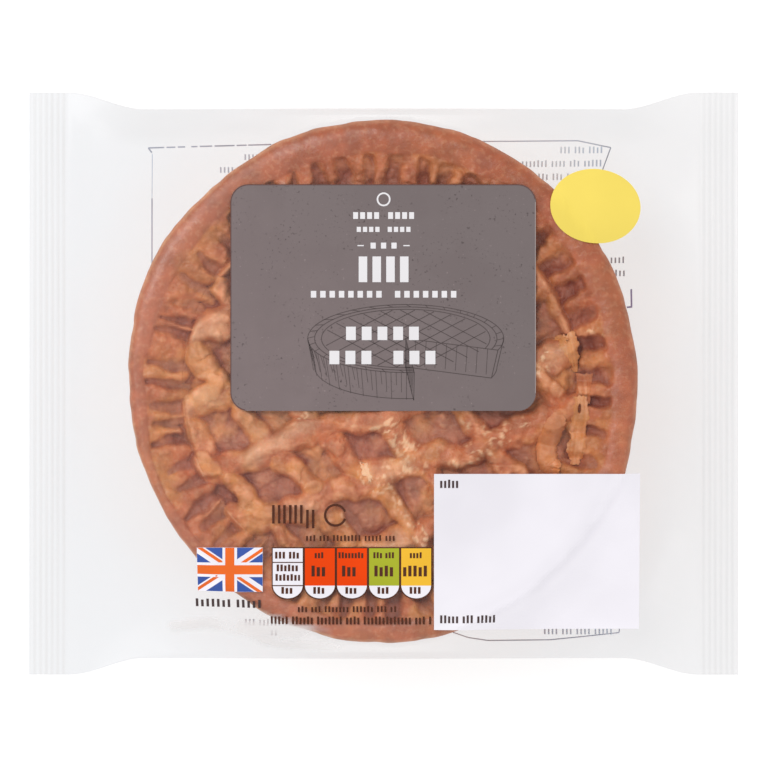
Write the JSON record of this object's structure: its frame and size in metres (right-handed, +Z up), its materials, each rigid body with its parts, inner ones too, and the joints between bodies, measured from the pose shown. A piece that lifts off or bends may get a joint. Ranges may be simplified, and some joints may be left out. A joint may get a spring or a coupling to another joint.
{
  "type": "packed pork pie",
  "caption": "Large round pork pie with a crimped rim and a pastry lattice top, sealed in a clear flow-wrap pack with ribbed end seals and printed panels",
  "frame": {"origin": "on the floor under the middle of the pack lying flat, pie face up", "axes": "X along the pack from end seal to end seal, Y across it with the top of the print towards +Y, Z up"},
  "size_m": [0.1836, 0.1506, 0.0401],
  "materials": {
    "film_pack": "clear glossy film over a pale ground",
    "pork_pie": null,
    "front_panel": "slate grey print on film",
    "price_spot": "yellow print on film",
    "date_panel": "white print on film",
    "nutrition_strip": "coloured print on film",
    "flag_patch": "blue, white and red print on film"
  },
  "bodies": {
    "root": {"film_pack": "film_pack", "pork_pie": "pork_pie", "front_panel": "front_panel", "price_spot": "price_spot", "date_panel": "date_panel", "nutrition_strip": "nutrition_strip", "flag_patch": "flag_patch"}
  },
  "joints": []
}
